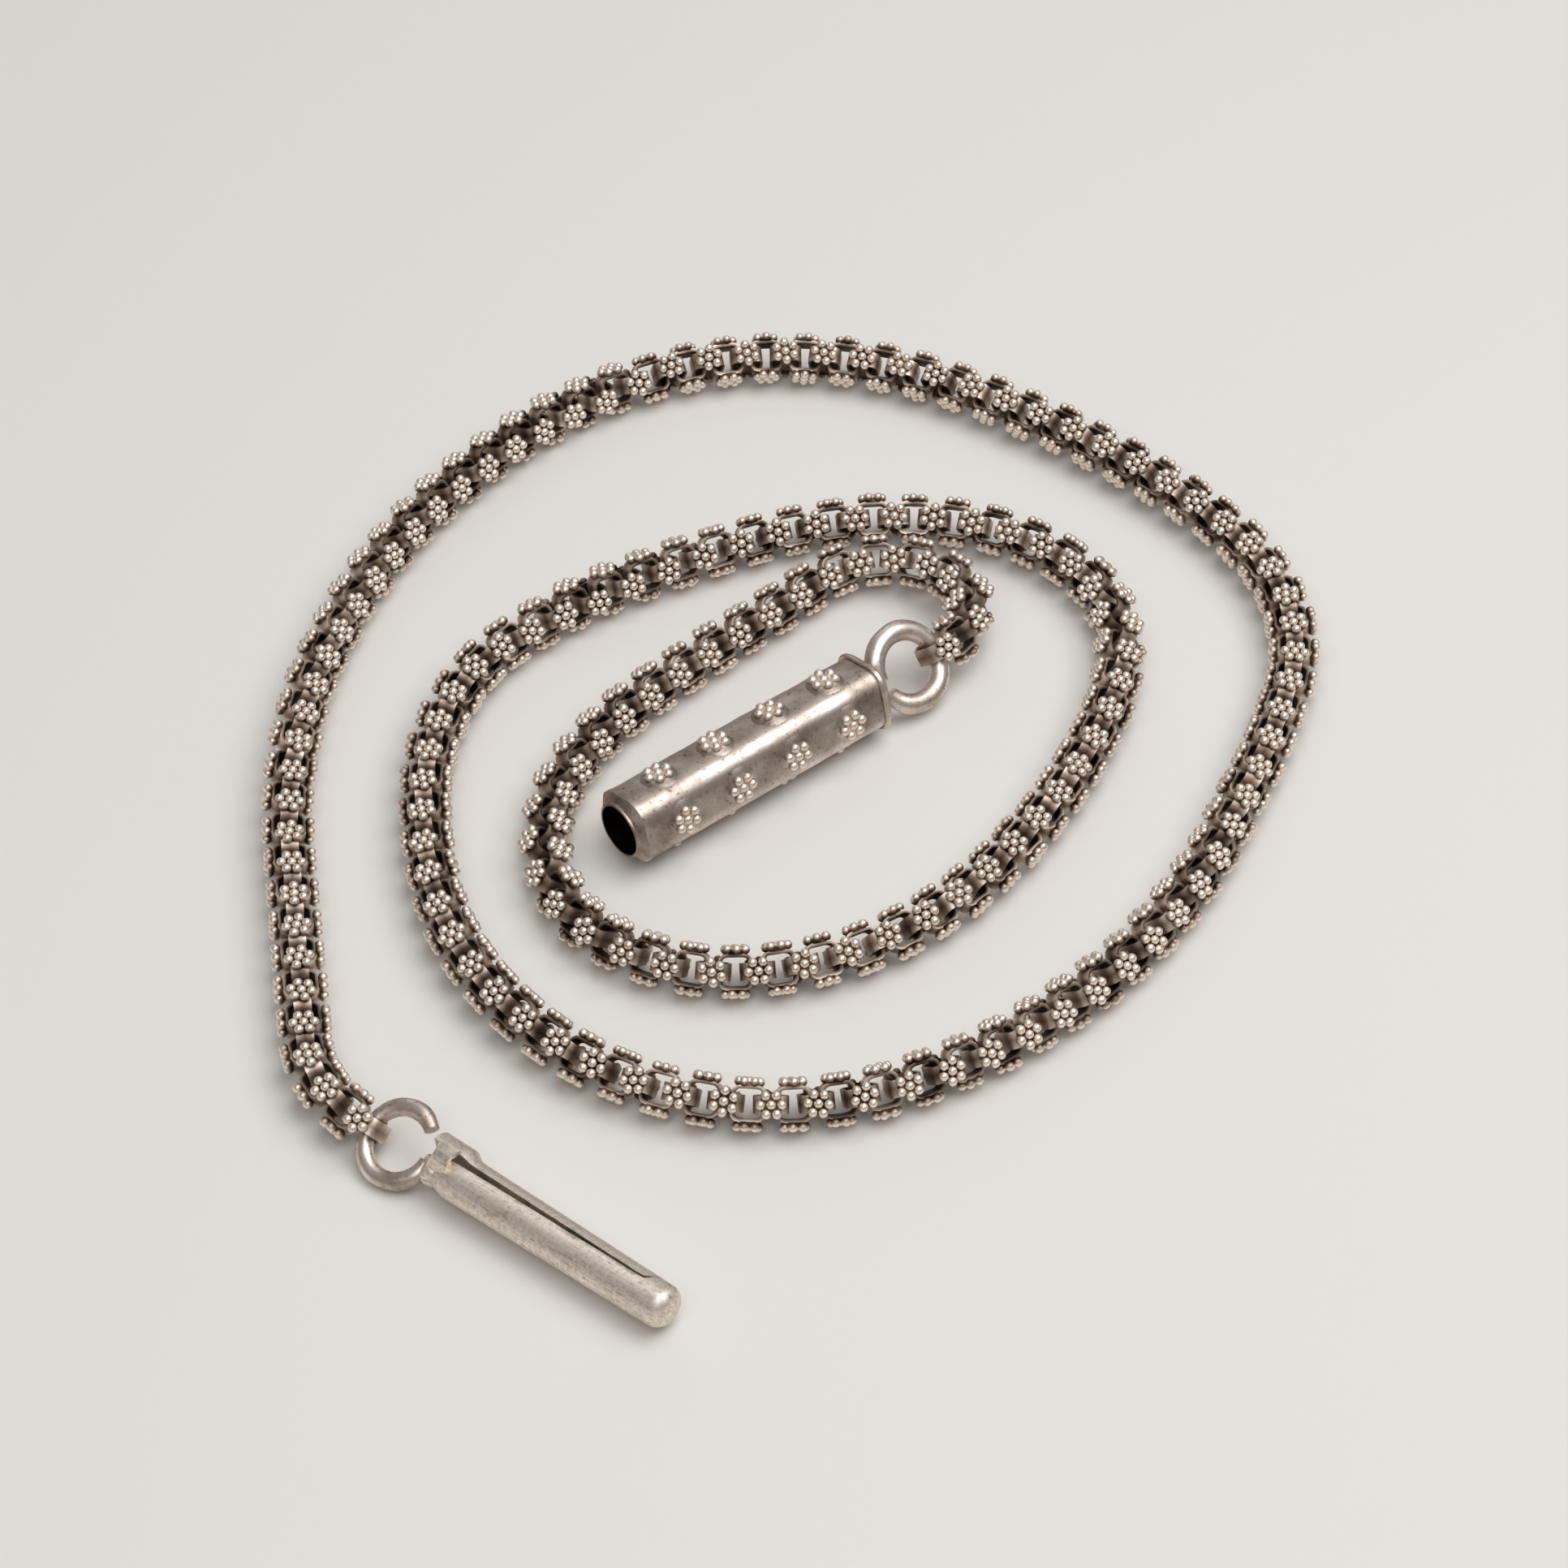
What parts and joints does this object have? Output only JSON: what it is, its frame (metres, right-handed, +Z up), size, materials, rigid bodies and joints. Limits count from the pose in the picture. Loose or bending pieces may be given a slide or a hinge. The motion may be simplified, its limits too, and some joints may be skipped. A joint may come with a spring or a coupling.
{
  "type": "watch chain",
  "caption": "Old silver watch chain of hooked strip links with granulated rosettes, ending in a square snap clasp: a bored barrel and a sprung folded tongue, each on a wire ring.",
  "frame": {"origin": "middle of the laid chain's box, on the table that it lies on", "axes": "+Z up from the table; +X right and +Y away from the viewer in the picture; the barrel points to the lower left and the tongue to the lower right"},
  "size_m": [0.0877, 0.112, 0.0074],
  "materials": {
    "chain_silver": "tarnished silver, bright on the worn granules and brown-black in the recesses",
    "clasp_silver": "tarnished silver with fine scratches and a trace of green on the tongue"
  },
  "bodies": {
    "length_01": {"chain_01": "chain_silver"},
    "length_02": {"chain_02": "chain_silver"},
    "length_03": {"chain_03": "chain_silver"},
    "length_04": {"chain_04": "chain_silver"},
    "length_05": {"chain_05": "chain_silver"},
    "length_06": {"chain_06": "chain_silver"},
    "length_07": {"chain_07": "chain_silver"},
    "length_08": {"chain_08": "chain_silver"},
    "length_09": {"chain_09": "chain_silver"},
    "length_10": {"chain_10": "chain_silver"},
    "length_11": {"chain_11": "chain_silver"},
    "length_12": {"chain_12": "chain_silver"},
    "length_13": {"chain_13": "chain_silver"},
    "length_14": {"chain_14": "chain_silver"},
    "length_15": {"chain_15": "chain_silver"},
    "length_16": {"chain_16": "chain_silver"},
    "length_17": {"chain_17": "chain_silver"},
    "length_18": {"chain_18": "chain_silver"},
    "length_19": {"chain_19": "chain_silver"},
    "length_20": {"chain_20": "chain_silver"},
    "length_21": {"chain_21": "chain_silver"},
    "length_22": {"chain_22": "chain_silver"},
    "length_23": {"chain_23": "chain_silver"},
    "length_24": {"chain_24": "chain_silver"},
    "length_25": {"chain_25": "chain_silver"},
    "length_26": {"chain_26": "chain_silver"},
    "length_27": {"chain_27": "chain_silver"},
    "length_28": {"chain_28": "chain_silver"},
    "length_29": {"chain_29": "chain_silver"},
    "length_30": {"chain_30": "chain_silver"},
    "length_31": {"chain_31": "chain_silver"},
    "length_32": {"chain_32": "chain_silver"},
    "length_33": {"chain_33": "chain_silver"},
    "length_34": {"chain_34": "chain_silver"},
    "length_35": {"chain_35": "chain_silver"},
    "length_36": {"chain_36": "chain_silver"},
    "length_37": {"chain_37": "chain_silver"},
    "length_38": {"chain_38": "chain_silver"},
    "length_39": {"chain_39": "chain_silver"},
    "length_40": {"chain_40": "chain_silver"},
    "length_41": {"chain_41": "chain_silver"},
    "length_42": {"chain_42": "chain_silver"},
    "length_43": {"chain_43": "chain_silver"},
    "length_44": {"chain_44": "chain_silver"},
    "length_45": {"chain_45": "chain_silver"},
    "length_46": {"chain_46": "chain_silver"},
    "length_47": {"chain_47": "chain_silver"},
    "length_48": {"chain_48": "chain_silver"},
    "length_49": {"chain_49": "chain_silver"},
    "outer_end_link": {"end_link_tongue": "chain_silver"},
    "inner_end_link": {"end_link_barrel": "chain_silver"},
    "tongue": {"tongue_arm": "clasp_silver", "tongue_ring": "clasp_silver"},
    "leaf": {"tongue_leaf": "clasp_silver"},
    "barrel": {"barrel_tube": "clasp_silver", "barrel_mouth": "clasp_silver", "barrel_cap": "clasp_silver", "barrel_rosettes": "clasp_silver", "barrel_ring": "clasp_silver"}
  },
  "joints": [
    {"name": "leaf_spring", "type": "hinge", "parent": "tongue", "child": "leaf", "pos_m": [-0.01072, -0.05262, 0.00237], "axis": [-0.0906, -0.1277, 0.9877], "range_deg": [0, 1.2], "stiffness_Nm_per_rad": 0.29},
    {"name": "tongue_swing", "type": "hinge", "parent": "outer_end_link", "child": "tongue", "pos_m": [-0.03292, -0.03677, 0.00238], "axis": [-0.5252, -0.6659, -0.5299], "range_deg": [-45, 90]},
    {"name": "barrel_swing", "type": "hinge", "parent": "inner_end_link", "child": "barrel", "pos_m": [0.01142, 0.01469, 0.00373], "axis": [0.445, -0.5495, -0.7071], "range_deg": [-90, 4]},
    {"name": "outer_end_flex", "type": "hinge", "parent": "length_01", "child": "outer_end_link", "pos_m": [-0.03415, -0.03581, 0.0024], "axis": [-0.6659, -0.7461, 0], "range_deg": [-12, 12]},
    {"name": "inner_end_flex", "type": "hinge", "parent": "length_49", "child": "inner_end_link", "pos_m": [0.01264, 0.01567, 0.00373], "axis": [0.7254, -0.6884, 0], "range_deg": [-8, 8]},
    {"name": "flex_24_25", "type": "hinge", "parent": "length_25", "child": "length_24", "pos_m": [-0.00985, -0.03321, 0.00233], "axis": [0.3076, 0.9515, 0], "range_deg": [-15, 15]},
    {"name": "flex_23_24", "type": "hinge", "parent": "length_24", "child": "length_23", "pos_m": [0.00052, -0.0343, 0.00226], "axis": [-0.1045, 0.9945, 0], "range_deg": [-15, 15]},
    {"name": "flex_22_23", "type": "hinge", "parent": "length_23", "child": "length_22", "pos_m": [0.01052, -0.03129, 0.00229], "axis": [0.4579, -0.889, 0], "range_deg": [-15, 15]},
    {"name": "flex_21_22", "type": "hinge", "parent": "length_22", "child": "length_21", "pos_m": [0.01925, -0.02549, 0.00231], "axis": [0.6305, -0.7762, 0], "range_deg": [-15, 15]},
    {"name": "flex_20_21", "type": "hinge", "parent": "length_21", "child": "length_20", "pos_m": [0.02666, -0.01808, 0.00226], "axis": [-0.7771, 0.6293, 0], "range_deg": [-15, 15]},
    {"name": "flex_19_20", "type": "hinge", "parent": "length_20", "child": "length_19", "pos_m": [0.03237, -0.00929, 0.00233], "axis": [-0.891, 0.454, 0], "range_deg": [-15, 15]},
    {"name": "flex_18_19", "type": "hinge", "parent": "length_19", "child": "length_18", "pos_m": [0.0367, 0.00028, 0.00242], "axis": [0.925, -0.38, 0], "range_deg": [-15, 15]},
    {"name": "flex_17_18", "type": "hinge", "parent": "length_18", "child": "length_17", "pos_m": [0.04027, 0.01015, 0.00236], "axis": [0.9542, -0.2993, 0], "range_deg": [-15, 15]},
    {"name": "flex_16_17", "type": "hinge", "parent": "length_17", "child": "length_16", "pos_m": [0.04131, 0.0205, 0.00233], "axis": [-0.9909, -0.1349, 0], "range_deg": [-15, 15]},
    {"name": "flex_15_16", "type": "hinge", "parent": "length_16", "child": "length_15", "pos_m": [0.03748, 0.03017, 0.00241], "axis": [-0.8124, -0.5831, 0], "range_deg": [-15, 15]},
    {"name": "flex_14_15", "type": "hinge", "parent": "length_15", "child": "length_14", "pos_m": [0.03044, 0.03794, 0.00242], "axis": [0.6799, 0.7333, 0], "range_deg": [-15, 15]},
    {"name": "flex_13_14", "type": "hinge", "parent": "length_14", "child": "length_13", "pos_m": [0.02229, 0.04455, 0.00241], "axis": [0.5819, 0.8133, 0], "range_deg": [-15, 15]},
    {"name": "flex_12_13", "type": "hinge", "parent": "length_13", "child": "length_12", "pos_m": [0.01332, 0.05, 0.00241], "axis": [-0.4501, -0.893, 0], "range_deg": [-15, 15]},
    {"name": "flex_11_12", "type": "hinge", "parent": "length_12", "child": "length_11", "pos_m": [0.00338, 0.05324, 0.00241], "axis": [-0.1492, -0.9888, 0], "range_deg": [-15, 15]},
    {"name": "flex_10_11", "type": "hinge", "parent": "length_11", "child": "length_10", "pos_m": [-0.00705, 0.05292, 0.0024], "axis": [-0.2122, 0.9772, 0], "range_deg": [-15, 15]},
    {"name": "flex_09_10", "type": "hinge", "parent": "length_10", "child": "length_09", "pos_m": [-0.01675, 0.04902, 0.00241], "axis": [-0.5213, 0.8534, 0], "range_deg": [-15, 15]},
    {"name": "flex_08_09", "type": "hinge", "parent": "length_09", "child": "length_08", "pos_m": [-0.02491, 0.04245, 0.00242], "axis": [0.7173, -0.6967, 0], "range_deg": [-15, 15]},
    {"name": "flex_07_08", "type": "hinge", "parent": "length_08", "child": "length_07", "pos_m": [-0.03149, 0.03428, 0.00239], "axis": [0.8307, -0.5568, 0], "range_deg": [-15, 15]},
    {"name": "flex_06_07", "type": "hinge", "parent": "length_07", "child": "length_06", "pos_m": [-0.03648, 0.02506, 0.00232], "axis": [-0.9211, 0.3894, 0], "range_deg": [-15, 15]},
    {"name": "flex_05_06", "type": "hinge", "parent": "length_06", "child": "length_05", "pos_m": [-0.03976, 0.0151, 0.00235], "axis": [-0.9713, 0.2377, 0], "range_deg": [-15, 15]},
    {"name": "flex_04_05", "type": "hinge", "parent": "length_05", "child": "length_04", "pos_m": [-0.04137, 0.00474, 0.00242], "axis": [0.9978, -0.0669, 0], "range_deg": [-15, 15]},
    {"name": "flex_03_04", "type": "hinge", "parent": "length_04", "child": "length_03", "pos_m": [-0.04116, -0.00575, 0.00235], "axis": [0.9942, 0.1074, 0], "range_deg": [-15, 15]},
    {"name": "flex_02_03", "type": "hinge", "parent": "length_03", "child": "length_02", "pos_m": [-0.03988, -0.01617, 0.00231], "axis": [-0.9925, -0.1219, 0], "range_deg": [-15, 15]},
    {"name": "flex_01_02", "type": "hinge", "parent": "length_02", "child": "length_01", "pos_m": [-0.0386, -0.02659, 0.00228], "axis": [-0.9925, -0.1219, 0], "range_deg": [-15, 15]},
    {"name": "flex_25_26", "type": "hinge", "parent": "length_25", "child": "length_26", "pos_m": [-0.01894, -0.02808, 0.00239], "axis": [0.6517, 0.7585, 0], "range_deg": [-15, 15]},
    {"name": "flex_26_27", "type": "hinge", "parent": "length_26", "child": "length_27", "pos_m": [-0.02556, -0.02, 0.00242], "axis": [0.8704, 0.4924, 0], "range_deg": [-15, 15]},
    {"name": "flex_27_28", "type": "hinge", "parent": "length_27", "child": "length_28", "pos_m": [-0.02922, -0.01021, 0.00241], "axis": [-0.9781, -0.2079, 0], "range_deg": [-15, 15]},
    {"name": "flex_28_29", "type": "hinge", "parent": "length_28", "child": "length_29", "pos_m": [-0.03032, 0.00022, 0.00231], "axis": [-0.9999, 0.0116, 0], "range_deg": [-15, 15]},
    {"name": "flex_29_30", "type": "hinge", "parent": "length_29", "child": "length_30", "pos_m": [-0.02839, 0.01049, 0.00239], "axis": [0.9315, -0.3638, 0], "range_deg": [-15, 15]},
    {"name": "flex_30_31", "type": "hinge", "parent": "length_30", "child": "length_31", "pos_m": [-0.02237, 0.01897, 0.0023], "axis": [0.668, -0.7441, 0], "range_deg": [-15, 15]},
    {"name": "flex_31_32", "type": "hinge", "parent": "length_31", "child": "length_32", "pos_m": [-0.01383, 0.02504, 0.00241], "axis": [-0.4924, 0.8704, 0], "range_deg": [-15, 15]},
    {"name": "flex_32_33", "type": "hinge", "parent": "length_32", "child": "length_33", "pos_m": [-0.00444, 0.02972, 0.00227], "axis": [-0.3867, 0.9222, 0], "range_deg": [-15, 15]},
    {"name": "flex_33_34", "type": "hinge", "parent": "length_33", "child": "length_34", "pos_m": [0.00566, 0.03248, 0.00232], "axis": [0.1204, -0.9927, 0], "range_deg": [-15, 15]},
    {"name": "flex_34_35", "type": "hinge", "parent": "length_34", "child": "length_35", "pos_m": [0.01603, 0.03146, 0.00234], "axis": [-0.3228, -0.9465, 0], "range_deg": [-15, 15]},
    {"name": "flex_35_36", "type": "hinge", "parent": "length_35", "child": "length_36", "pos_m": [0.02442, 0.02541, 0.00234], "axis": [0.8064, 0.5913, 0], "range_deg": [-15, 15]},
    {"name": "flex_36_37", "type": "hinge", "parent": "length_36", "child": "length_37", "pos_m": [0.02686, 0.01546, 0.00241], "axis": [0.9937, -0.1118, 0], "range_deg": [-15, 15]},
    {"name": "flex_37_38", "type": "hinge", "parent": "length_37", "child": "length_38", "pos_m": [0.02416, 0.00535, 0.00242], "axis": [-0.9222, 0.3867, 0], "range_deg": [-15, 15]},
    {"name": "flex_38_39", "type": "hinge", "parent": "length_38", "child": "length_39", "pos_m": [0.01936, -0.00398, 0.00242], "axis": [-0.848, 0.5299, 0], "range_deg": [-15, 15]},
    {"name": "flex_39_40", "type": "hinge", "parent": "length_39", "child": "length_40", "pos_m": [0.01291, -0.01224, 0.00241], "axis": [-0.7112, 0.703, 0], "range_deg": [-15, 15]},
    {"name": "flex_40_41", "type": "hinge", "parent": "length_40", "child": "length_41", "pos_m": [0.00439, -0.01828, 0.00236], "axis": [0.42, -0.9075, 0], "range_deg": [-15, 15]},
    {"name": "flex_41_42", "type": "hinge", "parent": "length_41", "child": "length_42", "pos_m": [-0.00581, -0.02041, 0.00226], "axis": [-0.0378, -0.9993, 0], "range_deg": [-15, 15]},
    {"name": "flex_42_43", "type": "hinge", "parent": "length_42", "child": "length_43", "pos_m": [-0.01542, -0.01669, 0.00232], "axis": [0.6506, 0.7595, 0], "range_deg": [-15, 15]},
    {"name": "flex_43_44", "type": "hinge", "parent": "length_43", "child": "length_44", "pos_m": [-0.02023, -0.00762, 0.00235], "axis": [-0.9922, -0.1248, 0], "range_deg": [-15, 15]},
    {"name": "flex_44_45", "type": "hinge", "parent": "length_44", "child": "length_45", "pos_m": [-0.01846, 0.00258, 0.0023], "axis": [-0.902, 0.4318, 0], "range_deg": [-15, 15]},
    {"name": "flex_45_46", "type": "hinge", "parent": "length_45", "child": "length_46", "pos_m": [-0.01245, 0.01113, 0.00228], "axis": [0.7274, -0.6862, 0], "range_deg": [-15, 15]},
    {"name": "flex_46_47", "type": "hinge", "parent": "length_46", "child": "length_47", "pos_m": [-0.00499, 0.01851, 0.00225], "axis": [0.682, -0.7314, 0], "range_deg": [-15, 15]},
    {"name": "flex_47_48", "type": "hinge", "parent": "length_47", "child": "length_48", "pos_m": [0.00269, 0.02567, 0.00231], "axis": [-0.5937, 0.8047, 0], "range_deg": [-8, 8]},
    {"name": "flex_48_49", "type": "hinge", "parent": "length_48", "child": "length_49", "pos_m": [0.01239, 0.02515, 0.00316], "axis": [0.6884, 0.7254, 0], "range_deg": [-8, 8]}
  ]
}
